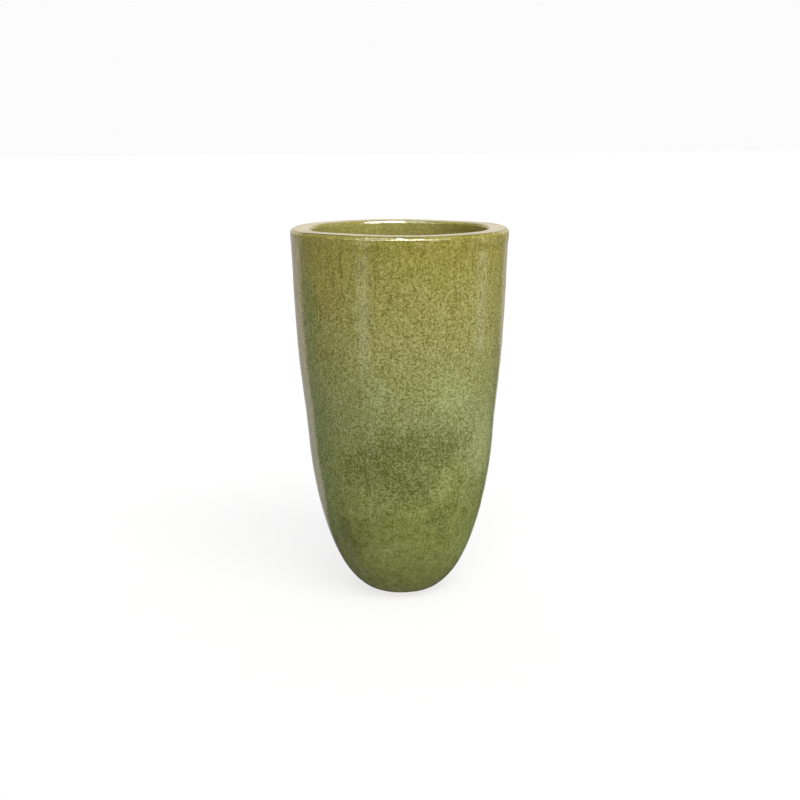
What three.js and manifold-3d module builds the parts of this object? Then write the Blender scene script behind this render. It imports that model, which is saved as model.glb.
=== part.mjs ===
// A tall glazed terracotta planter, as it comes apart on a bench: the fired clay vessel, the
// glaze coat fused on it, a rubber drain plug pushed in from below, a loose drain mesh on the
// inner floor, and four stick-on floor pads.
// Millimetres, +Z up. The origin is on the ground, under the middle of the foot.

import * as THREE from "three";
import { mergeVertices } from "three/addons/utils/BufferGeometryUtils.js";
import Module from "manifold-3d";

// Driving dimensions
const HEIGHT = 660;
const RIM_RADIUS = 190;
const AROUND = 48; // facets in a full turn of the vessel
const GAP = 0.3; // clearance between pieces that touch

// Outside: a wall that leans out to the rim, over an egg-shaped end cut off at the foot
const WALL_LEAN = 25; // how much further in the wall's line is at the ground than at the rim
const EGG_TIP = 6; // how far below the ground the egg's tip would lie
const EGG_FULLNESS = 3.5; // exponent: larger keeps the wall straight for longer
const EGG_ROUNDNESS = 0.34; // exponent: smaller turns the egg's end flatter
const HOLLOW_DEPTH = 3; // the thrown wall draws in slightly at half height
const HOLLOW_HEIGHT = 330;
const HOLLOW_SPREAD = 70;
const WALL = 22;

// Rim: a flat top with rounded edges, thickened on the inside
const RIM_WALL = 35;
const RIM_SWELL = 90; // the height over which the wall thickens to the rim
const RIM_OUTER_ROUND = 7;
const RIM_INNER_ROUND = 5;

// Glaze coat
const GLAZE_THICKNESS = 1.2;
const GLAZE_INSIDE_DEPTH = 150; // how far the glaze runs down the inside of the mouth

// Foot and drain
const PAD_THICKNESS = 2.5;
const PAD_RADIUS = 8;
const PAD_CIRCLE = 42;
const PAD_COUNT = 4;
const FOOT_FLAT_RADIUS = 52;
const RECESS_RADIUS = 28;
const RECESS_DEPTH = 8;
const RECESS_CHAMFER = 1.5;
const FLOOR_HEIGHT = 36; // top of the inner floor
const DRAIN_RADIUS_LOW = 13.2;
const DRAIN_RADIUS_HIGH = 11.8;

// Drain plug
const PLUG_HEAD_RADIUS = 17;
const PLUG_HEAD_THICKNESS = 3.5;
const PLUG_EDGE = 0.8;
const PLUG_STEM_LENGTH = 18;
const PLUG_NOSE = 1.6;
const TONGUE_WIDTH = 11;
const TONGUE_REACH = 19;
const TONGUE_THICKNESS = 2.6;
const TONGUE_EYE_RADIUS = 2.8;

// Drain mesh
const MESH_RADIUS = 32;
const MESH_THICKNESS = 2;
const MESH_PITCH = 6.5;
const MESH_HOLE = 4.6;
const MESH_BORDER = 2.2;

const GLAZE_FOOT = 4.3; // height of the glaze's lower edge
const INNER_FLOOR_RADIUS = 60;
const INNER_FLOOR_EASE = 4; // height of the slope between the wall and the inner floor
const WALL_STEPS = 20;
const ROUND_STEPS = 4;

const SKIN = GLAZE_THICKNESS + GAP;
const RECESS_TOP = PAD_THICKNESS + RECESS_DEPTH;
const MOUTH_RADIUS = RIM_RADIUS - RIM_WALL;

const wasm = await Module();
wasm.setup();

function material(color, roughness) {
  return new THREE.MeshStandardMaterial({ color, roughness, metalness: 0 });
}

function named(name, geometry, look) {
  const mesh = new THREE.Mesh(geometry, look);
  mesh.name = name;
  return mesh;
}

function point(radius, height) {
  return new THREE.Vector2(radius, height);
}

// The outside's radius at a height
function outsideRadius(height) {
  const depth = HEIGHT - height;
  const wall = RIM_RADIUS - (WALL_LEAN * depth) / HEIGHT;
  const egg = (1 - (depth / (HEIGHT + EGG_TIP)) ** EGG_FULLNESS) ** EGG_ROUNDNESS;
  const hollow = HOLLOW_DEPTH * Math.exp(-(((height - HOLLOW_HEIGHT) / HOLLOW_SPREAD) ** 2));
  return wall * egg - hollow;
}

// The outside from the glaze's lower edge to the rim's round, with its points closer at both ends
function outsidePath() {
  const top = HEIGHT - RIM_OUTER_ROUND;
  const points = [];
  for (let step = 0; step <= WALL_STEPS; step += 1) {
    const share = (1 - Math.cos((Math.PI * step) / WALL_STEPS)) / 2;
    const height = GLAZE_FOOT + share * (top - GLAZE_FOOT);
    points.push(point(outsideRadius(height), height));
  }
  return points;
}

// The inside from the mouth to the floor: the outside moved in by the wall, which thickens to the rim
function insidePath(outside) {
  const highest = HEIGHT - 2 * RIM_INNER_ROUND;
  const lowest = FLOOR_HEIGHT + INNER_FLOOR_EASE;
  return inset(outside, WALL)
    .reverse()
    .filter((spot) => spot.y < highest && spot.y > lowest)
    .map((spot) => {
      const swell = THREE.MathUtils.smoothstep(spot.y, HEIGHT - RIM_SWELL, HEIGHT);
      return point(spot.x - (RIM_WALL - WALL) * swell, spot.y);
    });
}

// A quarter or half round in the (radius, height) plane, end points included
function round(centre, radius, fromDegrees, toDegrees) {
  const points = [];
  for (let step = 0; step <= ROUND_STEPS; step += 1) {
    const angle = THREE.MathUtils.degToRad(fromDegrees + ((toDegrees - fromDegrees) * step) / ROUND_STEPS);
    points.push(point(centre.x + radius * Math.cos(angle), centre.y + radius * Math.sin(angle)));
  }
  return points;
}

// The path moved to its left by a distance, with mitred corners
function inset(path, distance) {
  return path.map((here, index) => {
    const before = path[Math.max(index - 1, 0)];
    const after = path[Math.min(index + 1, path.length - 1)];
    const arriving = here.clone().sub(before).normalize();
    const leaving = after.clone().sub(here).normalize();
    const along = arriving.clone().add(leaving).normalize();
    const either = arriving.lengthSq() > 0 ? arriving : leaving;
    const mitre = distance / Math.max(along.dot(either), 0.5);
    return point(here.x - along.y * mitre, here.y + along.x * mitre);
  });
}

// A closed profile turned about the vertical axis
function turned(profile, facets) {
  const closed = [...profile, profile[0].clone()];
  return new THREE.LatheGeometry(closed, facets).rotateX(Math.PI / 2);
}

// A profile that starts and ends on the axis, turned about it
function turnedSolid(profile, facets) {
  return new THREE.LatheGeometry(profile, facets).rotateX(Math.PI / 2);
}

function solid(geometry) {
  const bare = geometry.clone();
  bare.deleteAttribute("normal");
  bare.deleteAttribute("uv");
  const merged = mergeVertices(bare);
  const vertProperties = new Float32Array(merged.attributes.position.array);
  const triVerts = new Uint32Array(merged.index.array);
  return new wasm.Manifold(new wasm.Mesh({ numProp: 3, vertProperties, triVerts }));
}

function geometryOf(manifold) {
  const mesh = manifold.getMesh();
  const geometry = new THREE.BufferGeometry();
  geometry.setAttribute("position", new THREE.BufferAttribute(mesh.vertProperties, 3));
  geometry.setIndex(new THREE.BufferAttribute(mesh.triVerts, 1));
  geometry.computeVertexNormals();
  return geometry;
}

// The glazed surface from the foot, up the outside, over the rim and down to the inner floor
function vesselSurface() {
  const outside = outsidePath();
  const outerCentre = point(RIM_RADIUS - RIM_OUTER_ROUND, HEIGHT - RIM_OUTER_ROUND);
  const innerCentre = point(MOUTH_RADIUS + RIM_INNER_ROUND, HEIGHT - RIM_INNER_ROUND);
  const outerRound = round(outerCentre, RIM_OUTER_ROUND, 0, 90);
  const innerRound = round(innerCentre, RIM_INNER_ROUND, 90, 180);
  const wall = outside.slice(0, -1);
  return { outside: [...wall, ...outerRound], inside: [...innerRound, ...insidePath(outside)] };
}

const surface = vesselSurface();

// The fired clay: one vessel with a flat foot, an underside recess and a tapered drain hole
function clayBody() {
  const shell = inset([...surface.outside, ...surface.inside], SKIN);
  const foot = [
    point(RECESS_RADIUS, PAD_THICKNESS + RECESS_CHAMFER),
    point(RECESS_RADIUS + RECESS_CHAMFER, PAD_THICKNESS),
    point(FOOT_FLAT_RADIUS, PAD_THICKNESS),
  ];
  const floor = [point(INNER_FLOOR_RADIUS, FLOOR_HEIGHT), point(DRAIN_RADIUS_HIGH, FLOOR_HEIGHT)];
  const recess = [point(DRAIN_RADIUS_LOW, RECESS_TOP), point(RECESS_RADIUS, RECESS_TOP)];
  return named("clay_body", turned([...recess, ...foot, ...shell, ...floor], AROUND), material(0xb5714d, 0.85));
}

// The glaze: a glassy skin over the outside, the rim and the upper inside
function glazeCoat() {
  const lowest = HEIGHT - GLAZE_INSIDE_DEPTH;
  const mouth = surface.inside.filter((spot) => spot.y >= lowest);
  const face = [...surface.outside, ...mouth];
  const back = inset(face, GLAZE_THICKNESS).reverse();
  return named("glaze_coat", turned([...face, ...back], AROUND), material(0x8f9056, 0.25));
}

// The rubber plug: a flat head in the recess, a tapered stem, and a pull tongue lying under the head
function drainPlug() {
  const headTop = RECESS_TOP - GAP;
  const headLow = headTop - PLUG_HEAD_THICKNESS;
  const stemTop = headTop + PLUG_STEM_LENGTH;
  const taper = (DRAIN_RADIUS_LOW - DRAIN_RADIUS_HIGH) / (FLOOR_HEIGHT - RECESS_TOP);
  const stemLow = DRAIN_RADIUS_LOW - GAP;
  const stemHigh = stemLow - taper * (PLUG_STEM_LENGTH - PLUG_NOSE);
  const profile = [
    point(0, headLow),
    point(PLUG_HEAD_RADIUS - PLUG_EDGE, headLow),
    point(PLUG_HEAD_RADIUS, headLow + PLUG_EDGE),
    point(PLUG_HEAD_RADIUS, headTop - PLUG_EDGE),
    point(PLUG_HEAD_RADIUS - PLUG_EDGE, headTop),
    point(stemLow, headTop),
    point(stemHigh, stemTop - PLUG_NOSE),
    point(stemHigh - PLUG_NOSE, stemTop),
    point(0, stemTop),
  ];
  const outline = new THREE.Shape();
  outline.moveTo(0, -TONGUE_WIDTH / 2);
  outline.lineTo(TONGUE_REACH, -TONGUE_WIDTH / 2);
  outline.absarc(TONGUE_REACH, 0, TONGUE_WIDTH / 2, -Math.PI / 2, Math.PI / 2, false);
  outline.lineTo(0, TONGUE_WIDTH / 2);
  outline.closePath();
  const eye = new THREE.Path();
  eye.absarc(TONGUE_REACH, 0, TONGUE_EYE_RADIUS, 0, Math.PI * 2, true);
  outline.holes.push(eye);
  const depth = TONGUE_THICKNESS + PLUG_EDGE;
  const tongue = new THREE.ExtrudeGeometry(outline, { depth, bevelEnabled: false, curveSegments: 10 });
  tongue.translate(0, 0, headLow - TONGUE_THICKNESS);
  const whole = solid(turnedSolid(profile, 32)).add(solid(tongue));
  return named("drain_plug", geometryOf(whole), material(0x26282a, 0.7));
}

// The plastic mesh: a thin disc with a grid of square holes inside a plain border
function drainMesh() {
  const disc = new THREE.CylinderGeometry(MESH_RADIUS, MESH_RADIUS, MESH_THICKNESS, AROUND);
  let grid = solid(disc.rotateX(Math.PI / 2));
  const reach = Math.ceil(MESH_RADIUS / MESH_PITCH);
  const corner = MESH_HOLE / Math.SQRT2;
  for (let column = -reach; column <= reach; column += 1) {
    for (let row = -reach; row <= reach; row += 1) {
      const x = column * MESH_PITCH;
      const y = row * MESH_PITCH;
      if (Math.hypot(x, y) + corner > MESH_RADIUS - MESH_BORDER) continue;
      const hole = new THREE.BoxGeometry(MESH_HOLE, MESH_HOLE, MESH_THICKNESS * 2);
      grid = grid.subtract(solid(hole.translate(x, y, 0)));
    }
  }
  const mesh = named("drain_mesh", geometryOf(grid), material(0x2f3a33, 0.6));
  mesh.position.z = FLOOR_HEIGHT + GAP + MESH_THICKNESS / 2;
  return mesh;
}

// One stick-on pad under the foot ring, lowest at the ground
function floorPad(index) {
  const height = PAD_THICKNESS - GAP;
  const disc = new THREE.CylinderGeometry(PAD_RADIUS, PAD_RADIUS, height, 24).rotateX(Math.PI / 2);
  const pad = named(`floor_pad_${index + 1}`, disc, material(0x3a3a38, 0.95));
  const angle = (Math.PI * 2 * (index + 0.5)) / PAD_COUNT;
  pad.position.set(PAD_CIRCLE * Math.cos(angle), PAD_CIRCLE * Math.sin(angle), height / 2);
  return pad;
}

const pot = new THREE.Group();
pot.add(clayBody(), glazeCoat(), drainPlug(), drainMesh());
for (let index = 0; index < PAD_COUNT; index += 1) {
  pot.add(floorPad(index));
}

export default pot;
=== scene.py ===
"""A tall hand-thrown terracotta planter with a running olive-green glaze, on a pale studio floor."""

import itertools
import math

import bpy
import numpy as np
from mathutils import Matrix, Vector


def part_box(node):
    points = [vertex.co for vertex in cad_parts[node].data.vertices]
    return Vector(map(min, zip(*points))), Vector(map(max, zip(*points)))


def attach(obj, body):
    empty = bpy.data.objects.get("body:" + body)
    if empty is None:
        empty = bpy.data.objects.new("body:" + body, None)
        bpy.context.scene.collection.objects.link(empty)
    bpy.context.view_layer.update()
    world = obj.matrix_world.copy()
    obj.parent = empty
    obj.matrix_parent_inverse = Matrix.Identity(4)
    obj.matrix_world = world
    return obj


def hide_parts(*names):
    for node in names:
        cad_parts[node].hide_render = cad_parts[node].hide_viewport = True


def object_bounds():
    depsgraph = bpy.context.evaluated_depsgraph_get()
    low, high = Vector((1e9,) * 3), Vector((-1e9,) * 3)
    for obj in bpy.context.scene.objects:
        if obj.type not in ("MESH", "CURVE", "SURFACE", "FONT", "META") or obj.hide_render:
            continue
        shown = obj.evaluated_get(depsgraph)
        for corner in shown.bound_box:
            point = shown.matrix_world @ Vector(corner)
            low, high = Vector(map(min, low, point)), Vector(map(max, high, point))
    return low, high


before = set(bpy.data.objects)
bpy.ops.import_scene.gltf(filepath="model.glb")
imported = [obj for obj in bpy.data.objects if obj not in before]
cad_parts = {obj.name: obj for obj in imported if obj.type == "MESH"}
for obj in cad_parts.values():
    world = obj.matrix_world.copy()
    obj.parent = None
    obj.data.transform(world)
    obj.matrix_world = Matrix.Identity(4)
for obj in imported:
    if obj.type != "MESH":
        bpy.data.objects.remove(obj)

MM = 0.001
CAD_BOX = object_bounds()

# ---------------------------------------------------------------- sizes, in metres

HEIGHT = CAD_BOX[1].z
RIM_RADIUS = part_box("glaze_coat")[1].x
PAD_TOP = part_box("clay_body")[0].z

WALL_LEAN = 25 * MM
EGG_TIP = 6 * MM
EGG_FULLNESS = 3.5
EGG_ROUNDNESS = 0.34
HOLLOW_DEPTH = 3 * MM
HOLLOW_HEIGHT = 330 * MM
HOLLOW_SPREAD = 70 * MM
WALL = 22 * MM
RIM_WALL = 35 * MM
RIM_SWELL = 90 * MM
RIM_OUTER_ROUND = 7 * MM
RIM_INNER_ROUND = 5 * MM
SKIN = 1.5 * MM  # from the glaze's face to the clay
GLAZE_THICKNESS = 1.2 * MM
GLAZE_INSIDE_DEPTH = 150 * MM
FOOT_FLAT_RADIUS = 52 * MM
RECESS_RADIUS = 28 * MM
RECESS_TOP = PAD_TOP + 8 * MM
FLOOR_HEIGHT = 36 * MM
GLAZE_FOOT = 4.3 * MM
INNER_FLOOR_RADIUS = 60 * MM
INNER_FLOOR_EASE = 4 * MM
DRAIN_RADIUS_LOW = 13.2 * MM
DRAIN_RADIUS_HIGH = 11.8 * MM

# how finely the turned pieces are divided: points round, and rings along the outline
GLAZE_AROUND = 320
GLAZE_OUTSIDE_RINGS = 186
GLAZE_INSIDE_RINGS = 40
GLAZE_BACK_STEP = 6  # the hidden back has one ring for each six of the face
CLAY_AROUND = 240
CLAY_OUTSIDE_RINGS = 90
CLAY_INSIDE_RINGS = 120
CLAY_RIM_RINGS = 20  # over the rim and into the neck

NOISE_CELLS = 32
UV_MARGIN = 0.002


# ---------------------------------------------------------------- arithmetic helpers

def smoothstep(low, high, value):
    t = np.clip((value - low) / (high - low), 0, 1)
    return t * t * (3 - 2 * t)


def smooth_noise(points, size, seed):
    """Values from -1 to 1 that vary over about `size` metres."""
    lattice = np.random.default_rng(seed).uniform(-1, 1, (NOISE_CELLS, NOISE_CELLS, NOISE_CELLS))
    scaled = points / size
    low = np.floor(scaled).astype(int)
    t = scaled - low
    t = t * t * (3 - 2 * t)
    total = 0
    for corner in itertools.product((0, 1), repeat=3):
        weight = np.prod(np.where(corner, t, 1 - t), axis=-1)
        cell = (low + corner) % NOISE_CELLS
        total = total + weight * lattice[cell[..., 0], cell[..., 1], cell[..., 2]]
    return total


def arc(centre, radius, start, end, steps):
    """Points along an arc in the (radius, height) plane, from one angle in degrees to another."""
    turn = np.radians(np.linspace(start, end, steps + 1))
    return np.stack([centre[0] + radius * np.cos(turn), centre[1] + radius * np.sin(turn)], 1)


def path_normals(path):
    """Unit normals on the right of a path in the (radius, height) plane."""
    along = np.gradient(path, axis=0)
    along /= np.linalg.norm(along, axis=1)[:, None]
    return np.stack([along[:, 1], -along[:, 0]], 1)


def resampled(path, count):
    """The path again, with its points an even distance apart."""
    length = np.r_[0, np.cumsum(np.linalg.norm(np.diff(path, axis=0), axis=1))]
    even = np.linspace(0, length[-1], count)
    return np.stack([np.interp(even, length, path[:, 0]), np.interp(even, length, path[:, 1])], 1)


# ---------------------------------------------------------------- the vessel's outline

def outside_radius(height):
    """A wall that leans out to the rim, over an egg-shaped end, with a shallow hollow at half height."""
    depth = HEIGHT - height
    wall = RIM_RADIUS - WALL_LEAN * depth / HEIGHT
    egg = (1 - (depth / (HEIGHT + EGG_TIP)) ** EGG_FULLNESS) ** EGG_ROUNDNESS
    hollow = HOLLOW_DEPTH * np.exp(-(((height - HOLLOW_HEIGHT) / HOLLOW_SPREAD) ** 2))
    return wall * egg - hollow


def outside_path(steps):
    """The outside from the glaze's lower edge to the rim's round, with its points closer at both ends."""
    share = (1 - np.cos(np.linspace(0, math.pi, steps + 1))) / 2
    height = GLAZE_FOOT + share * (HEIGHT - RIM_OUTER_ROUND - GLAZE_FOOT)
    return np.stack([outside_radius(height), height], 1)


def inside_path(outside):
    """The inside from the mouth down: the outside moved in by the wall, which thickens to the rim."""
    wall = (outside - path_normals(outside) * WALL)[::-1]
    wall[:, 0] -= (RIM_WALL - WALL) * smoothstep(HEIGHT - RIM_SWELL, HEIGHT, wall[:, 1])
    below_mouth = wall[:, 1] < HEIGHT - 2 * RIM_INNER_ROUND
    above_floor = wall[:, 1] > FLOOR_HEIGHT + INNER_FLOOR_EASE
    return wall[below_mouth & above_floor]


MOUTH_RADIUS = RIM_RADIUS - RIM_WALL
OUTSIDE_PATH = outside_path(240)
INSIDE_PATH = inside_path(OUTSIDE_PATH)
OUTER_ROUND = arc((RIM_RADIUS - RIM_OUTER_ROUND, HEIGHT - RIM_OUTER_ROUND), RIM_OUTER_ROUND, 0, 90, 14)
INNER_ROUND = arc((MOUTH_RADIUS + RIM_INNER_ROUND, HEIGHT - RIM_INNER_ROUND), RIM_INNER_ROUND, 90, 180, 10)
RIM_FLAT = np.linspace(OUTER_ROUND[-1], INNER_ROUND[0], 9)[1:-1]
MOUTH_NECK = np.linspace(INNER_ROUND[-1], INSIDE_PATH[0], 5)[1:-1]


def handmade(points):
    """The thrown vessel's unevenness: a slight oval, soft lumps and throwing rings, and a rim that dips."""
    x, y, z = points[..., 0], points[..., 1], points[..., 2]
    turn = np.arctan2(y, x)
    above_foot = smoothstep(0.02 * HEIGHT, 0.25 * HEIGHT, z)
    oval = 0.35 * MM + 0.6 * MM * np.cos(2 * turn + 0.9)
    lumps = 0.7 * MM * smooth_noise(points * (1, 1, 0.7), 95 * MM, 11)
    rings = 0.25 * MM * smooth_noise(np.stack([turn * 4 * MM, turn * 0, z], -1), 17 * MM, 12)
    grow = 1 + above_foot * (oval + lumps + rings) / RIM_RADIUS
    near_rim = smoothstep(0.75 * HEIGHT, HEIGHT, z)
    dip = -1.0 * MM * x / RIM_RADIUS + 0.5 * MM * np.sin(3 * turn + 1.1) + 0.35 * MM * np.sin(5 * turn)
    return np.stack([x * grow, y * grow, z + near_rim * (dip + 0.4 * MM)], -1)


# ---------------------------------------------------------------- mesh builders

def add_mesh(name, vertices, faces, material, body, replaces):
    mesh = bpy.data.meshes.new(name)
    mesh.from_pydata(vertices, [], faces)
    mesh.update()
    piece = bpy.data.objects.new(name, mesh)
    bpy.context.scene.collection.objects.link(piece)
    mesh.materials.append(material)
    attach(piece, body)
    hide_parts(*replaces)
    return piece


def ring_faces(rings, around, closed):
    """Quads between rings of `around` points, with the last ring joined to the first if closed."""
    i, j = np.meshgrid(np.arange(rings if closed else rings - 1), np.arange(around), indexing="ij")
    up, on = (i + 1) % rings, (j + 1) % around
    return np.stack([i * around + j, i * around + on, up * around + on, up * around + j], -1).reshape(-1, 4)


def turned(profile, around):
    """The profile's points turned about the axis: an array [ring, around, xyz]."""
    turn = np.arange(around) * 2 * math.pi / around
    radius, height = profile[:, 0, None], profile[:, 1, None]
    return np.stack([radius * np.cos(turn), radius * np.sin(turn), height + 0 * turn], -1)


def lathe_uv(piece, profile, around):
    """One unwrapped sheet for a turned piece: across is the turn, up is the length of the profile."""
    steps = np.linalg.norm(np.diff(profile, axis=0, append=profile[:1]), axis=1)
    along = np.r_[0, np.cumsum(steps)]
    along = UV_MARGIN + (1 - 2 * UV_MARGIN) * along / along[-1]
    layer = piece.data.uv_layers.new(name="OFBake")
    rings = len(profile)
    faces = ring_faces(rings, around, True)
    ring, spot = faces // around, faces % around
    ring[:, 2:] = np.where(ring[:, 2:] < ring[:, :2], rings, ring[:, 2:])
    spot[:, 1:3] = np.where(spot[:, 1:3] == 0, around, spot[:, 1:3])
    across = UV_MARGIN + (1 - 2 * UV_MARGIN) * spot / around
    uv = np.stack([across, along[ring]], -1)
    layer.data.foreach_set("uv", uv.reshape(-1).astype(np.float32))


def surface_value(piece, name, values):
    attribute = piece.data.attributes.new(name, "FLOAT", "POINT")
    attribute.data.foreach_set("value", values.reshape(-1).astype(np.float32))


def smooth(piece):
    piece.data.polygons.foreach_set("use_smooth", [True] * len(piece.data.polygons))
    return piece


# ---------------------------------------------------------------- material helpers

def colour(value):
    return value if isinstance(value, bpy.types.NodeSocket) else (*value, 1.0)


class Nodes:
    """A small notation for building a tree of shader nodes."""

    def __init__(self, tree):
        self.tree = tree
        self.tree.nodes.clear()

    def add(self, kind, inputs=(), **settings):
        node = self.tree.nodes.new("ShaderNode" + kind)
        for name, value in settings.items():
            setattr(node, name, value)
        for key, value in dict(inputs).items():
            self.feed(node.inputs[key], value)
        return node

    def feed(self, socket, value):
        if isinstance(value, bpy.types.NodeSocket):
            self.tree.links.new(value, socket)
        else:
            socket.default_value = value

    def math(self, operation, a, b=0.0, clamp=False):
        return self.add("Math", {0: a, 1: b}, operation=operation, use_clamp=clamp).outputs[0]

    def times(self, a, b):
        return self.math("MULTIPLY", a, b)

    def plus(self, a, b):
        return self.math("ADD", a, b)

    def band(self, value, low, high):
        """0 below low, 1 above high and a smooth step between; low may be the larger."""
        inputs = {"Value": value, "From Min": low, "From Max": high, "To Min": 0.0, "To Max": 1.0}
        return self.add("MapRange", inputs, interpolation_type="SMOOTHSTEP").outputs["Result"]

    def mix(self, factor, a, b, blend="MIX"):
        node = self.add("Mix", {0: factor, 6: colour(a), 7: colour(b)}, data_type="RGBA", blend_type=blend)
        return node.outputs[2]


class Shader(Nodes):
    """One material and its nodes."""

    def __init__(self, name):
        self.material = bpy.data.materials.new(name)
        self.material.use_nodes = True
        super().__init__(self.material.node_tree)
        output = self.add("OutputMaterial")
        self.principled = self.add("BsdfPrincipled")
        self.tree.links.new(self.principled.outputs["BSDF"], output.inputs["Surface"])
        self.place = self.add("TexCoord").outputs["Object"]

    def set(self, **inputs):
        for name, value in inputs.items():
            self.feed(self.principled.inputs[name.replace("_", " ")], value)

    def stretched(self, x, y, z):
        return self.add("VectorMath", {0: self.place, 1: (x, y, z)}, operation="MULTIPLY").outputs[0]

    def noise(self, size, detail=2.0, rough=0.5, place=None):
        """Smooth noise from 0 to 1, with lumps about `size` metres across."""
        inputs = {"Vector": place or self.place, "Scale": 1 / size, "Detail": detail, "Roughness": rough}
        return self.add("TexNoise", inputs).outputs["Fac"]

    def cells(self, size):
        """The distance to the nearest of some scattered points about `size` metres apart, in cells."""
        return self.add("TexVoronoi", {"Vector": self.place, "Scale": 1 / size}).outputs["Distance"]

    def spread(self, value, low, high):
        """The noise value stretched to run between low and high."""
        inputs = {"Value": value, "From Min": 0.3, "From Max": 0.7, "To Min": low, "To Max": high}
        return self.add("MapRange", inputs).outputs["Result"]

    def coordinate(self, axis):
        return self.add("SeparateXYZ", {0: self.place}).outputs[axis]

    def ramp(self, value, stops):
        """The colour found at `value` along a list of (position, colour) stops."""
        node = self.add("ValToRGB", {"Fac": value})
        elements = node.color_ramp.elements
        for position, shade in stops[1:-1]:
            elements.new(position).color = colour(shade)
        for element, (position, shade) in ((elements[0], stops[0]), (elements[-1], stops[-1])):
            element.position, element.color = position, colour(shade)
        return node.outputs["Color"]

    def patch(self, place, turn, height, width, tall):
        """1 at a spot on the vessel's outside, falling to 0 towards an ellipse; turn 0 is the front."""
        radius = outside_radius(height)
        angle = math.radians(turn)
        centre = (radius * math.sin(angle), -radius * math.cos(angle), height)
        offset = self.add("VectorMath", {0: place, 1: centre}, operation="SUBTRACT").outputs[0]
        squash = (1 / width, 1 / width, 1 / tall)
        scaled = self.add("VectorMath", {0: offset, 1: squash}, operation="MULTIPLY").outputs[0]
        length = self.add("VectorMath", {0: scaled}, operation="LENGTH").outputs["Value"]
        return self.band(length, 1.0, 0.15)

    def attribute(self, name):
        return self.add("Attribute", attribute_name=name).outputs["Fac"]

    def bump(self, height, distance, strength=1.0, under=None):
        inputs = {"Height": height, "Distance": distance, "Strength": strength}
        if under is not None:
            inputs["Normal"] = under
        return self.add("Bump", inputs).outputs["Normal"]


# ---------------------------------------------------------------- materials

# the glaze's colour from the foot to the rim: (share of HEIGHT, colour)
GLAZE_TONES = [
    (0.00, (0.22, 0.23, 0.06)), (0.25, (0.21, 0.24, 0.06)), (0.50, (0.26, 0.28, 0.10)),
    (0.75, (0.31, 0.30, 0.09)), (1.00, (0.30, 0.27, 0.05)),
]

# the kinds of cloud: (cover, crystals gone, colour). Pooled glaze is dark and bare, pale glaze is thick
# with crystals, and golden, leaf-green and fresh green stretches lie between them
POOLED = (0.70, 0.22, (0.18, 0.20, 0.06))
PALE = (0.75, -0.12, (0.30, 0.33, 0.12))
GOLDEN = (0.50, 0.00, (0.37, 0.31, 0.07))
LEAFY = (0.50, 0.00, (0.20, 0.24, 0.06))
FRESH = (0.50, -0.05, (0.27, 0.31, 0.09))

# (kind, degrees round from the front, share of HEIGHT, width, height)
GLAZE_CLOUDS = [
    (POOLED, 0, 0.45, 110 * MM, 65 * MM), (POOLED, 30, 0.45, 70 * MM, 50 * MM),
    (POOLED, -20, 0.40, 75 * MM, 50 * MM), (POOLED, 5, 0.35, 65 * MM, 45 * MM),
    (LEAFY, -60, 0.45, 70 * MM, 160 * MM),
    (PALE, 30, 0.60, 75 * MM, 50 * MM), (PALE, 60, 0.45, 75 * MM, 110 * MM),
    (PALE, -10, 0.60, 40 * MM, 40 * MM), (FRESH, 25, 0.35, 45 * MM, 45 * MM),
    (FRESH, -25, 0.30, 45 * MM, 35 * MM), (POOLED, 25, 0.25, 40 * MM, 35 * MM),
    (FRESH, -15, 0.15, 50 * MM, 50 * MM), (POOLED, -45, 0.20, 45 * MM, 60 * MM),
    (LEAFY, -55, 0.75, 40 * MM, 170 * MM), (FRESH, 60, 0.15, 70 * MM, 60 * MM),
    (GOLDEN, -40, 0.90, 60 * MM, 90 * MM), (GOLDEN, 55, 0.95, 60 * MM, 60 * MM),
]


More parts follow.
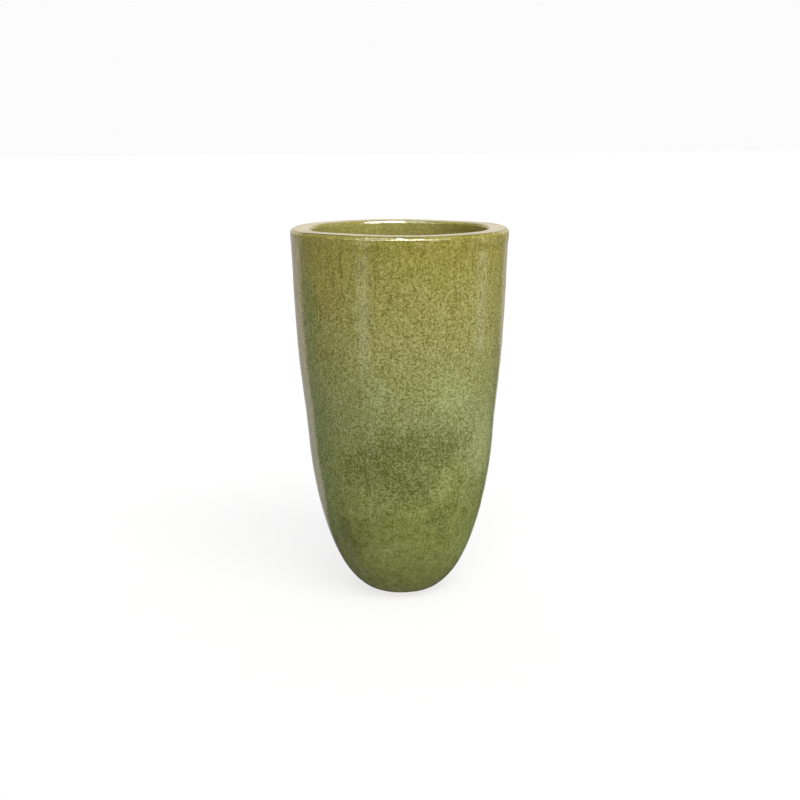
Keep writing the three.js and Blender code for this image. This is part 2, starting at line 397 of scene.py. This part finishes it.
def glaze_material():
    """Olive-mustard under the rim, straw-laced in the middle, sage and darker olive clouds below."""
    s = Shader("reactive_glaze")
    wander = s.add("TexNoise", {"Vector": s.place, "Scale": 1 / (24 * MM), "Detail": 3.0}).outputs["Color"]
    wander = s.add("VectorMath", {0: wander, 1: (0.5, 0.5, 0.5)}, operation="SUBTRACT").outputs[0]
    wander = s.add("VectorMath", {0: wander, "Scale": 90 * MM}, operation="SCALE").outputs[0]
    drifted = s.add("VectorMath", {0: s.place, 1: wander}, operation="ADD").outputs[0]
    level = s.math("DIVIDE", s.add("SeparateXYZ", {0: drifted}).outputs["Z"], HEIGHT)
    tone = s.ramp(level, GLAZE_TONES)
    mottle = s.times(s.spread(s.noise(13 * MM, 3.0, 0.6), -0.22, 0.22), s.band(level, 0.62, 0.25))
    bare = mottle
    for (strength, bareness, shade), turn, up, width, tall in GLAZE_CLOUDS:
        cover = s.times(s.patch(drifted, turn, up * HEIGHT, width, tall), strength)
        tone = s.mix(cover, tone, shade)
        bare = s.plus(bare, s.times(cover, bareness))

    # round the back the clouds fall where they like
    behind = s.band(s.coordinate("Y"), -0.06, 0.06)
    belly = s.times(s.band(level, 0.04, 0.20), s.band(level, 0.80, 0.55))
    loose = s.times(behind, belly)
    cloud = s.noise(75 * MM, 3.0, 0.55)
    pale = s.times(s.band(cloud, 0.52, 0.64), loose)
    dark = s.times(s.band(cloud, 0.47, 0.36), loose)
    tone = s.mix(s.times(pale, 0.7), tone, (0.33, 0.36, 0.15))
    tone = s.mix(s.times(dark, 0.8), tone, (0.19, 0.205, 0.06))
    bare = s.plus(bare, s.times(s.math("SUBTRACT", dark, pale), 0.2))

    # faint vertical runs on the upper wall
    runs = s.noise(5.5 * MM, 4.0, 0.65, s.stretched(1, 1, 0.14))
    upper = s.band(level, 0.40, 0.90)
    light_runs = s.times(s.band(runs, 0.48, 0.34), s.times(upper, 0.4))
    dark_runs = s.times(s.band(runs, 0.52, 0.66), s.times(upper, 0.5))
    tone = s.mix(light_runs, tone, (0.40, 0.37, 0.13))
    tone = s.mix(dark_runs, tone, (0.17, 0.145, 0.03))

    # the grain: short pale worms and dots of crystal in a darker glass, bare in places
    field = s.noise(9 * MM, 1.5, 0.5, s.stretched(0.85, 0.85, 1.15))
    worms = s.math("SINE", s.times(field, 27.0))
    coarse = s.spread(s.noise(4.0 * MM, 1.0, 0.5), -1.0, 1.0)
    fine = s.spread(s.noise(2.3 * MM, 2.0, 0.6), -1.0, 1.0)
    crystals = s.plus(s.times(worms, 0.34), s.times(coarse, 0.50))
    crystals = s.plus(crystals, s.times(fine, 0.95))
    inside = s.attribute("inside")
    strength = s.times(s.band(level, 0.12, 0.36), s.band(level, 1.15, 0.75))
    strength = s.plus(s.times(strength, 0.25), 0.30)
    strength = s.plus(strength, s.times(inside, 0.7))
    strength = s.plus(strength, s.times(bare, 0.4))
    crystals = s.times(crystals, strength)
    crystals = s.math("ADD", crystals, s.math("SUBTRACT", 0.5, bare), clamp=True)
    grain = s.mix(crystals, (0.52, 0.50, 0.27), (1.48, 1.50, 1.90))
    tone = s.mix(1.0, tone, grain, "MULTIPLY")

    # inside the mouth the glaze lies paler; painted shade darkens the right wall to a brown and the left
    # wall to a deeper green; at the rim's edges the glaze breaks to a cream, and a painted dark reflection
    # runs beside it
    tone = s.mix(s.times(inside, 0.5), tone, (0.50, 0.49, 0.17))
    side = s.coordinate("X")
    # painted shade: the right inside wall darkened to a brown
    painted_shade_right_wall = s.times(inside, s.band(side, 40 * MM, 140 * MM))
    tone = s.mix(s.times(painted_shade_right_wall, 0.65), tone, (0.24, 0.19, 0.05))
    # painted shade: the left inside wall darkened to a deeper green
    painted_shade_left_wall = s.times(inside, s.band(side, -60 * MM, -140 * MM))
    tone = s.mix(s.times(painted_shade_left_wall, 0.5), tone, (0.24, 0.26, 0.07))
    cream_break_and_painted_dark_line = s.attribute("cream_break_and_painted_dark_line")
    tone = s.mix(s.band(cream_break_and_painted_dark_line, 0.0, 1.0), tone, (0.46, 0.40, 0.26))
    # painted dark reflection: a dark line on the outer round just below the rim's flat
    tone = s.mix(s.band(cream_break_and_painted_dark_line, 0.0, -1.0), tone, (0.12, 0.11, 0.05))

    # soft waves and a fine ripple lie all over, blisters on the rim and the upper outside, and the runs
    # and a lumpy roll only below the rim's flat
    normal = s.bump(s.noise(11 * MM, 2.0, 0.5), 0.9 * MM, 0.25)
    normal = s.bump(s.noise(3 * MM, 1.0, 0.5), 0.2 * MM, 0.45, normal)
    off_the_flat = s.band(s.coordinate("Z"), HEIGHT - 2 * MM, HEIGHT - 6 * MM)
    run_relief = s.times(s.times(runs, upper), off_the_flat)
    normal = s.bump(run_relief, 0.6 * MM, 0.45, normal)
    outer_top = s.times(s.band(level, 0.76, 0.94), s.math("SUBTRACT", 1.0, inside))
    blisters = s.times(s.band(s.cells(11 * MM), 0.18, 0.04), outer_top)
    normal = s.bump(blisters, 0.7 * MM, 0.7, normal)
    under_rim = s.band(s.coordinate("Z"), HEIGHT - 40 * MM, HEIGHT - 10 * MM)
    under_rim = s.times(under_rim, off_the_flat)
    normal = s.bump(s.times(s.noise(7 * MM, 2.0, 0.6), under_rim), 1.8 * MM, 0.7, normal)
    s.set(Base_Color=tone, Roughness=s.spread(s.noise(20 * MM, 3.0), 0.05, 0.11), IOR=1.5, Normal=normal)
    return s.material


def terracotta_material():
    s = Shader("terracotta")
    tone = s.mix(s.spread(s.noise(40 * MM, 5.0, 0.6), 0, 1), (0.40, 0.170, 0.085), (0.52, 0.245, 0.135))
    grain = s.noise(1.6 * MM, 4.0, 0.7)
    tone = s.mix(s.band(grain, 0.55, 0.75), tone, (0.62, 0.36, 0.22))
    tone = s.mix(s.times(s.band(s.cells(7 * MM), 0.16, 0.06), 0.7), tone, (0.16, 0.07, 0.04))
    bloom = s.band(s.noise(70 * MM, 4.0), 0.52, 0.75)
    tone = s.mix(s.times(bloom, 0.35), tone, (0.66, 0.55, 0.46))
    rings = s.noise(6 * MM, 2.0, 0.5, s.stretched(0.12, 0.12, 1))
    normal = s.bump(rings, 1.2 * MM, 0.35)
    normal = s.bump(grain, 0.5 * MM, 0.6, normal)
    s.set(Base_Color=tone, Roughness=s.spread(grain, 0.72, 0.95), Normal=normal)
    return s.material


def rubber_material():
    s = Shader("plug_rubber")
    cloud = s.noise(9 * MM, 4.0, 0.6)
    grain = s.noise(0.7 * MM, 3.0, 0.6)
    tone = s.mix(s.spread(cloud, 0, 1), (0.016, 0.016, 0.018), (0.045, 0.044, 0.046))
    s.set(Base_Color=tone, Roughness=s.spread(cloud, 0.50, 0.75), Normal=s.bump(grain, 0.15 * MM, 0.5))
    return s.material


def mesh_plastic_material():
    s = Shader("mesh_plastic")
    cloud = s.noise(14 * MM, 4.0, 0.6)
    grain = s.noise(0.9 * MM, 3.0, 0.6)
    tone = s.mix(s.spread(cloud, 0, 1), (0.012, 0.030, 0.020), (0.030, 0.060, 0.040))
    s.set(Base_Color=tone, Roughness=s.spread(cloud, 0.35, 0.55), Normal=s.bump(grain, 0.10 * MM, 0.4))
    return s.material


def pad_material():
    s = Shader("pad_felt")
    fibres = s.noise(0.8 * MM, 4.0, 0.7, s.stretched(1, 0.3, 1))
    tone = s.mix(s.spread(fibres, 0, 1), (0.020, 0.020, 0.018), (0.075, 0.072, 0.066))
    s.set(Base_Color=tone, Roughness=0.95, Normal=s.bump(fibres, 0.3 * MM, 0.7))
    return s.material


# ---------------------------------------------------------------- the pot

def glaze_coat():
    """The glaze: a skin with a broken roll under the rim, and a soft bead along both wavering edges."""
    lowest = HEIGHT - GLAZE_INSIDE_DEPTH
    mouth = INSIDE_PATH[INSIDE_PATH[:, 1] >= lowest]
    outside = resampled(OUTSIDE_PATH, GLAZE_OUTSIDE_RINGS)
    inside = resampled(np.concatenate([MOUTH_NECK, mouth]), GLAZE_INSIDE_RINGS)
    face = np.concatenate([outside, OUTER_ROUND[1:], RIM_FLAT, INNER_ROUND, inside])
    normals = path_normals(face)
    points = turned(face, GLAZE_AROUND)
    z = points[..., 2]
    turn = np.arange(GLAZE_AROUND) * 2 * math.pi / GLAZE_AROUND
    outward = np.stack([normals[:, 0, None] * np.cos(turn), normals[:, 0, None] * np.sin(turn),
                        normals[:, 1, None] + 0 * turn], -1)

    count = len(face)
    step = np.arange(count)[:, None]
    is_inside = step > len(outside) + len(OUTER_ROUND) + len(RIM_FLAT)
    runs = smooth_noise(points * (1, 1, 0.12), 17 * MM, 21)
    thickness = 0.14 * MM * runs * smoothstep(0.3 * HEIGHT, 0.7 * HEIGHT, z)
    thickness += 0.10 * MM * smooth_noise(points, 13 * MM, 22)
    sags = smooth_noise(points * (1, 1, 0.2), 28 * MM, 23)
    sags += 0.5 * smooth_noise(points * (1, 1, 0.4), 14 * MM, 24)
    sags = np.clip(sags + 0.35, 0, 1.2)
    under_rim = smoothstep(HEIGHT - 30 * MM, HEIGHT - 15 * MM, z)
    under_rim = under_rim * smoothstep(HEIGHT - 3 * MM, HEIGHT - 12 * MM, z)
    thickness += np.where(is_inside, 0, 1.8 * MM * under_rim * sags)
    bead = 0.5 * MM * np.exp(-((step - 3.0) / 2.0) ** 2)
    inner_bead = 0.6 * MM * np.exp(-((count - 4.0 - step) / 2.0) ** 2)
    ends = smoothstep(0, 1.5, step) * smoothstep(0, 1.5, count - 1 - step)
    points = points + outward * (thickness * ends + bead + inner_bead)[..., None]

    # the two edges waver up and down along the surface
    lower_edge = turned(face[:1], GLAZE_AROUND)
    inner_edge = turned(face[-1:], GLAZE_AROUND) * (1, 1, 0)
    low_wave = (0.4 + 0.6 * smooth_noise(lower_edge, 16 * MM, 25)) * MM
    fade = np.exp(-np.arange(count) / 6.0)[:, None]
    points[..., 2] += low_wave * fade
    drips = smoothstep(0.25, 0.8, smooth_noise(inner_edge, 24 * MM, 27)) * 16 * MM
    inner_wave = 10 * MM * smooth_noise(inner_edge, 60 * MM, 26) - drips
    inside_rows = np.arange(count) - (count - GLAZE_INSIDE_RINGS)
    fade = np.clip(inside_rows / (GLAZE_INSIDE_RINGS - 1), 0, 1)[:, None]
    points[..., 2] += inner_wave * fade

    back = (face - normals * GLAZE_THICKNESS)[::-GLAZE_BACK_STEP]
    back_points = turned(back, GLAZE_AROUND)
    back_points[-1, :, 2] += low_wave[0]
    back_points[:3, :, 2] += inner_wave[0] * np.array([[1.0], [0.8], [0.5]])
    profile = np.concatenate([face, back])
    points = handmade(np.concatenate([points, back_points]))

    rings = len(profile)
    faces = ring_faces(rings, GLAZE_AROUND, True)
    piece = add_mesh("glaze_skin", points.reshape(-1, 3), faces.tolist(), glaze_material(), "pot",
                     ["glaze_coat"])
    lathe_uv(piece, profile, GLAZE_AROUND)

    # the value is above 0 where the glaze breaks to cream, and below 0 on a painted dark reflection, a dark
    # line along the outer round beside it
    cream_break_and_painted_dark_line = np.zeros((rings, GLAZE_AROUND))
    painted_dark_line_rings = 8
    outer_end = len(outside) + len(OUTER_ROUND) - 1
    inner_start = outer_end + len(RIM_FLAT)
    inner_end = inner_start + len(INNER_ROUND)
    # how dark the painted reflection line under the rim's flat is, wavering round the rim
    painted_dark_line_strength = 0.55 + 0.35 * smooth_noise(lower_edge, 22 * MM, 28)
    across_line = np.linspace(0.3, math.pi - 0.2, painted_dark_line_rings)
    cream_break_and_painted_dark_line[outer_end - painted_dark_line_rings:outer_end] = -np.sin(across_line)[:, None] * painted_dark_line_strength
    cream_break_and_painted_dark_line[outer_end:inner_start] = np.linspace(0.0, 0.4, len(RIM_FLAT))[:, None]
    cream_break_and_painted_dark_line[inner_start:inner_end] = np.linspace(0.6, 0.0, len(INNER_ROUND))[:, None]
    inside = np.zeros((rings, GLAZE_AROUND))
    inside[inner_end:count] = 1
    surface_value(piece, "inside", inside)
    surface_value(piece, "cream_break_and_painted_dark_line", cream_break_and_painted_dark_line)
    return smooth(piece)


def clay_body():
    """The fired clay: bare inside below the glaze, and at the foot, the recess and the drain hole."""
    outside = resampled(OUTSIDE_PATH, CLAY_OUTSIDE_RINGS)
    inside = resampled(np.concatenate([MOUTH_NECK, INSIDE_PATH]), CLAY_INSIDE_RINGS)
    shell = np.concatenate([outside, OUTER_ROUND[1::2], RIM_FLAT[::3], INNER_ROUND[::2], inside])
    shell = shell - path_normals(shell) * SKIN
    drain_edge = 0.8 * MM
    drain_top = (DRAIN_RADIUS_HIGH, FLOOR_HEIGHT - drain_edge)
    drain_foot = (DRAIN_RADIUS_LOW, RECESS_TOP + drain_edge)
    drain = np.linspace(drain_top, drain_foot, 8)
    recess = np.array([
        (DRAIN_RADIUS_LOW + drain_edge, RECESS_TOP),
        (20 * MM, RECESS_TOP),
        (RECESS_RADIUS - 1.5 * MM, RECESS_TOP),
        (RECESS_RADIUS, RECESS_TOP - 1.2 * MM),
        (RECESS_RADIUS, PAD_TOP + 1.6 * MM),
        (RECESS_RADIUS + 1.4 * MM, PAD_TOP + 0.2 * MM),
    ])
    ring = np.linspace((RECESS_RADIUS + 2.4 * MM, PAD_TOP), (FOOT_FLAT_RADIUS - 2 * MM, PAD_TOP), 8)
    foot_edge = np.array([(FOOT_FLAT_RADIUS, PAD_TOP + 0.15 * MM)])
    floor = np.linspace((INNER_FLOOR_RADIUS, FLOOR_HEIGHT), (DRAIN_RADIUS_HIGH + 1 * MM, FLOOR_HEIGHT), 10)
    profile = np.concatenate([recess, ring, foot_edge, shell, floor, drain])
    points = handmade(turned(profile, CLAY_AROUND))
    grit = smooth_noise(points, 7 * MM, 31) * 0.12 * MM
    above_floor = smoothstep(0.05 * HEIGHT, 0.12 * HEIGHT, points[..., 2])
    finger_rings = 0.5 * MM * np.sin(points[..., 2] / (3.4 * MM) + 2 * smooth_noise(points, 60 * MM, 32))
    neck_end = len(recess) + len(ring) + len(foot_edge) + CLAY_OUTSIDE_RINGS + CLAY_RIM_RINGS
    inward = np.zeros((len(profile), 1))
    inward[neck_end:-len(floor) - len(drain)] = 1
    radius = np.hypot(points[..., 0], points[..., 1])
    above_foot = points[..., 2] > PAD_TOP + 3 * MM
    push = 1 + (inward * above_floor * finger_rings + grit * above_foot) / radius
    points[..., :2] *= push[..., None]
    faces = ring_faces(len(profile), CLAY_AROUND, True)
    piece = add_mesh("clay_vessel", points.reshape(-1, 3), faces.tolist(), terracotta_material(), "pot",
                     ["clay_body"])
    lathe_uv(piece, profile, CLAY_AROUND)
    return smooth(piece)


def solid_of_turning(name, profile, around, material, body, replaces):
    """A turned piece closed on the axis at both ends, listed with its solid on the path's left."""
    points = turned(profile, around).reshape(-1, 3)
    faces = ring_faces(len(profile), around, False).tolist()
    low, high = len(points), len(points) + 1
    points = np.concatenate([points, [(0, 0, profile[0, 1]), (0, 0, profile[-1, 1])]])
    last = (len(profile) - 1) * around
    for j in range(around):
        on = (j + 1) % around
        faces.append([low, on, j])
        faces.append([high, last + j, last + on])
    return smooth(add_mesh(name, points, faces, material, body, replaces))


def drain_plug():
    """A moulded rubber bung: a ribbed tapered stem, a round-edged head and a flat tongue with an eye."""
    low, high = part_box("drain_plug")
    head_top = RECESS_TOP - 0.3 * MM
    head_low = head_top - 3.5 * MM
    head_radius = 17 * MM
    head_round = 0.9 * MM
    stem_low = DRAIN_RADIUS_LOW - 0.3 * MM
    rib_height = 0.28 * MM
    rib_pitch = 5.2 * MM
    nose_round = 1.6 * MM
    head = np.concatenate([
        [(4 * MM, head_low + 0.5 * MM), (6 * MM, head_low + 0.5 * MM), (6.6 * MM, head_low)],
        arc((head_radius - head_round, head_low + head_round), head_round, -90, 0, 5),
        arc((head_radius - head_round, head_top - head_round), head_round, 0, 90, 5),
        [(stem_low + 0.4 * MM, head_top)],
    ])
    heights = np.linspace(head_top + 0.4 * MM, high.z - nose_round, 44)
    taper = (DRAIN_RADIUS_LOW - DRAIN_RADIUS_HIGH) / (FLOOR_HEIGHT - RECESS_TOP)
    ribs = rib_height * (1 - np.abs(np.sin((heights - head_top) / rib_pitch * math.pi)) ** 0.7)
    stem = np.stack([stem_low - taper * (heights - head_top) - rib_height + ribs, heights], 1)
    nose = arc((stem[-1, 0] - nose_round, high.z - nose_round), nose_round, 0, 90, 6)[1:]
    hollow = np.array([(7.0 * MM, high.z), (6.4 * MM, high.z - 0.6 * MM), (6.0 * MM, high.z - 6 * MM),
                       (3 * MM, high.z - 6.4 * MM)])
    profile = np.concatenate([head, stem, nose, hollow])
    rubber = rubber_material()
    plug = solid_of_turning("rubber_plug", profile, 96, rubber, "plug", ["drain_plug"])

    thickness = head_low - low.z
    tongue_round = 5.5 * MM
    eye_radius = 2.8 * MM
    bevel = 0.5 * MM
    reach = high.x - tongue_round
    outline = [(-6 * MM, -4.5 * MM), *arc((reach, 0), tongue_round, -90, 90, 20), (-6 * MM, 4.5 * MM)]
    curve = bpy.data.curves.new("plug_tongue", "CURVE")
    curve.dimensions = "2D"
    curve.fill_mode = "BOTH"
    for loop in (outline, arc((reach, 0), eye_radius, 0, 345, 23)):
        line = curve.splines.new("POLY")
        line.points.add(len(loop) - 1)
        for spot, (x, y) in zip(line.points, loop):
            spot.co = (x, y, 0, 1)
        line.use_cyclic_u = True
    curve.extrude = thickness / 2 - bevel
    curve.bevel_depth = bevel
    curve.bevel_resolution = 3
    curve.offset = -bevel
    flat = bpy.data.objects.new("plug_tongue_curve", curve)
    bpy.context.scene.collection.objects.link(flat)
    graph = bpy.context.evaluated_depsgraph_get()
    mesh = bpy.data.meshes.new_from_object(flat.evaluated_get(graph))
    bpy.data.objects.remove(flat)
    mesh.transform(Matrix.Translation((0, 0, low.z + thickness / 2 + 0.1 * MM)))
    mesh.materials.clear()
    mesh.materials.append(rubber)
    tongue = bpy.data.objects.new("plug_tongue", mesh)
    bpy.context.scene.collection.objects.link(tongue)
    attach(tongue, "plug")
    return smooth(plug)


def drain_mesh():
    """A moulded screen: two layers of round bars fused at their crossings inside a round border."""
    low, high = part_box("drain_mesh")
    centre_height = (low.z + high.z) / 2
    radius = high.x
    pitch = 6.5 * MM
    bar = 0.9 * MM
    crossing_swell = 0.28 * MM
    layer = 0.05 * MM
    border_bar = 1.0 * MM
    border_inset = 1.15 * MM
    sides = 10
    turn = np.arange(sides) * 2 * math.pi / sides
    vertices, faces = [], []

    def tube(path, thickness, closed):
        path = np.array(path)
        along = np.gradient(path, axis=0)
        if closed:
            along = np.roll(path, -1, 0) - np.roll(path, 1, 0)
        along /= np.linalg.norm(along, axis=1)[:, None]
        across = np.cross(along, (0, 0, 1))
        across /= np.linalg.norm(across, axis=1)[:, None]
        upward = np.cross(across, along)
        start = len(vertices)
        for spot, side, up, size in zip(path, across, upward, thickness):
            for angle in turn:
                vertices.append(spot + size * (math.cos(angle) * side + math.sin(angle) * up))
        count = len(path)
        faces.extend((ring_faces(count, sides, closed)[:, ::-1] + start).tolist())
        if not closed:
            faces.append([start + i for i in range(sides)])
            faces.append([start + (count - 1) * sides + i for i in reversed(range(sides))])

    last = int(radius / pitch)
    for k in range(-last, last + 1):
        offset = (k + 0.5) * pitch
        if abs(offset) > radius - 1.5 * MM:
            continue
        half = math.sqrt((radius - border_bar) ** 2 - offset**2)
        spots = np.linspace(-half, half, max(int(2 * half / (0.8 * MM)), 6))
        near = np.abs((spots / pitch) % 1 - 0.5) * pitch
        size = bar + crossing_swell * np.exp(-((near / bar) ** 2))
        tube([(spot, offset, centre_height + layer) for spot in spots], size, False)
        tube([(offset, spot, centre_height - layer) for spot in spots], size, False)
    border = turned(np.array([(radius - border_inset, centre_height)]), 120)[0]
    tube(border, [border_bar] * len(border), True)
    return smooth(add_mesh("drain_screen", vertices, faces, mesh_plastic_material(), "mesh",
                           ["drain_mesh"]))


def floor_pads():
    """Four round felt pads with soft shoulders."""
    felt = pad_material()
    for number in range(1, 5):
        node = f"floor_pad_{number}"
        low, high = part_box(node)
        radius = (high.x - low.x) / 2
        shoulder = 0.7 * MM
        top = high.z + 0.25 * MM  # closes most of the clearance under the clay
        profile = np.concatenate([
            [(radius * 0.5, low.z)],
            arc((radius - shoulder, low.z + shoulder), shoulder, -90, 0, 4),
            arc((radius - shoulder, top - shoulder), shoulder, 0, 90, 4),
            [(radius * 0.5, top)],
        ])
        pad = solid_of_turning(f"felt_pad_{number}", profile, 48, felt, "pot", [node])
        pad.data.transform(Matrix.Translation(((low.x + high.x) / 2, (low.y + high.y) / 2, 0)))


# ---------------------------------------------------------------- studio

def studio_world():
    """White to the camera; a room of bright panels shows in the gloss, and a softer one lights the rest."""
    world = bpy.data.worlds.new("studio")
    bpy.context.scene.world = world
    world.use_nodes = True
    nodes = Nodes(world.node_tree)
    toward = nodes.add("SeparateXYZ", {0: nodes.add("TexCoord").outputs["Generated"]})
    # degrees round from the camera's side, positive to its right, and degrees above the horizon
    nearer = nodes.times(toward.outputs["Y"], -1.0)
    turn = nodes.math("DEGREES", nodes.math("ARCTAN2", toward.outputs["X"], nearer))
    rise = nodes.math("DEGREES", nodes.math("ARCSINE", toward.outputs["Z"]))

    def within(value, low, high, soft):
        """1 between low and high, falling to 0 over soft edges."""
        rising = nodes.band(value, low - soft, low + soft)
        falling = nodes.band(value, high + soft, high - soft)
        return nodes.times(rising, falling)

    def room(below, above, panels):
        """Plain walls with soft-edged panels over them: (left, right, low, high, soft, tint, strength)."""
        shade = nodes.mix(nodes.band(rise, -30, 25), below, above)
        for left, right, low, high, soft, tint, strength in panels:
            cover = nodes.times(within(turn, left, right, soft), within(rise, low, high, soft))
            shade = nodes.mix(cover, shade, [part * strength for part in tint])
        return shade

    gloss = room((0.10, 0.105, 0.10), (0.13, 0.13, 0.12), (
        (-190, -130, -25, 3, 3, (1.0, 0.92, 0.88), 0.6),
        (-145, -130, -25, 3, 1, (1.0, 0.88, 0.82), 0.9),
        (-130, -105, -60, 20, 2, (0.80, 0.95, 1.0), 0.2),
        (145, 190, -12, 3, 2, (1.0, 0.92, 0.90), 0.6),
        (160, 190, -25, -12, 3, (0.92, 0.97, 1.0), 1.2),
        (-190, -135, 3, 25, 3, (1.0, 0.93, 0.81), 1.0),
        (135, 190, 3, 25, 3, (1.0, 0.93, 0.81), 1.0),
        (-45, -35, -20, 40, 5, (0.92, 0.97, 1.0), 1.8),
        (90, 105, -15, 40, 3, (0.92, 0.97, 1.0), 1.2),
        (-60, -15, 25, 75, 4, (0.95, 0.98, 1.0), 7.0),
        (-10, 50, 24, 80, 2, (1.0, 0.99, 0.98), 28.0),
    ))
    soft = room((0.45, 0.45, 0.43), (0.45, 0.45, 0.46), (
        (0, 120, -20, 60, 25, (1.0, 1.0, 1.0), 1.0),
        (125, 190, -10, 60, 20, (1.0, 1.0, 1.0), 0.9),
        (-190, -125, -10, 60, 20, (1.0, 1.0, 1.0), 0.9),
        (-15, 55, 40, 65, 4, (1.0, 0.985, 0.96), 8.0),
    ))
    rays = nodes.add("LightPath")
    lit = nodes.mix(rays.outputs["Is Glossy Ray"], soft, gloss)
    seen = nodes.mix(rays.outputs["Is Camera Ray"], lit, (0.97, 0.97, 0.97))
    background = nodes.add("Background", {"Color": seen, "Strength": 1.0})
    nodes.add("OutputWorld", {"Surface": background.outputs[0]})


def studio_floor():
    bpy.ops.mesh.primitive_plane_add(size=60)
    floor = bpy.context.object
    floor.name = "studio_floor"
    s = Shader("pale_floor")
    s.set(Base_Color=(0.22, 0.22, 0.22, 1), Roughness=0.9, Specular_IOR_Level=0.0)
    s.set(Emission_Color=(1, 1, 1, 1), Emission_Strength=0.74)
    floor.data.materials.append(s.material)
    floor.visible_glossy = False
    floor.visible_diffuse = False


def camera():
    """2.2 m in front of the pot's axis and a little above its rim, looking slightly down."""
    place = Vector((0, -2.2, 0.8435))
    aim = Vector((-0.0009, 0, 0.3501))
    tilt = math.radians(-0.47)
    data = bpy.data.cameras.new("camera")
    data.sensor_width = 36
    data.lens = 56.2
    data.clip_start = 0.05
    data.clip_end = 200
    eye = bpy.data.objects.new("camera", data)
    bpy.context.scene.collection.objects.link(eye)
    eye.location = place
    look = (aim - place).to_track_quat("-Z", "Y").to_matrix()
    eye.rotation_euler = (look @ Matrix.Rotation(tilt, 3, "Z")).to_euler()
    bpy.context.scene.camera = eye


glaze_coat()
clay_body()
drain_plug()
drain_mesh()
floor_pads()
studio_floor()
studio_world()
camera()
bpy.context.scene.view_settings.view_transform = "Standard"
